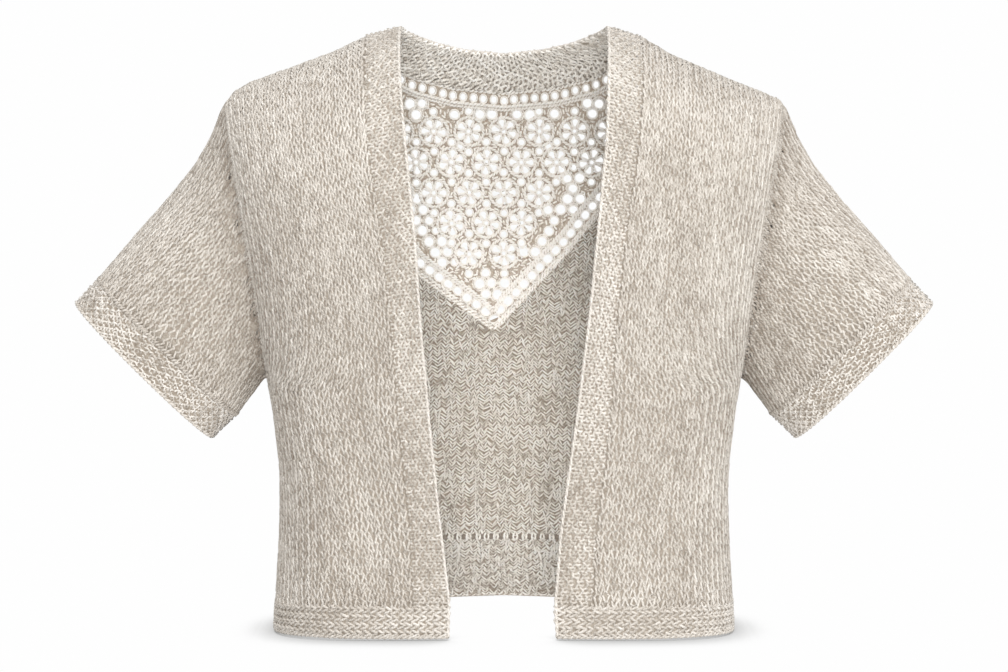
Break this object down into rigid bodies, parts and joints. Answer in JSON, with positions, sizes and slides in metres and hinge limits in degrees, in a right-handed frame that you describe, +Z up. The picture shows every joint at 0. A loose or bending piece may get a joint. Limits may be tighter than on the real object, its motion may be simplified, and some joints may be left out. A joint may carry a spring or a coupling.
{
  "type": "open-front knitted cardigan with a lace yoke",
  "caption": "Short-sleeved open-front knitted cardigan, filled out as worn, with a V-shaped crochet lace yoke in the back and one long front and neck band.",
  "frame": {"origin": "midway between the two shoulder-neck points, at their height, where the wearer's shoulders carry the garment", "axes": "+Z up, the open front faces -Y, +X to the viewer's right as seen from in front"},
  "size_m": [0.7302, 0.223, 0.513],
  "materials": {
    "stockinette_knit": "matte marled oatmeal and taupe yarn in stockinette",
    "moss_knit": "matte marled oatmeal and taupe yarn in moss stitch",
    "crochet_yarn": "matte marled oatmeal and taupe yarn, crocheted open work"
  },
  "bodies": {
    "root": {"back": "stockinette_knit", "lace_yoke": "crochet_yarn", "front_left": "stockinette_knit", "front_right": "stockinette_knit", "front_band": "moss_knit", "hem_left": "moss_knit", "hem_right": "moss_knit", "hem_back": "moss_knit", "sleeve_left": "stockinette_knit", "sleeve_right": "stockinette_knit", "cuff_left": "moss_knit", "cuff_right": "moss_knit"}
  },
  "joints": []
}
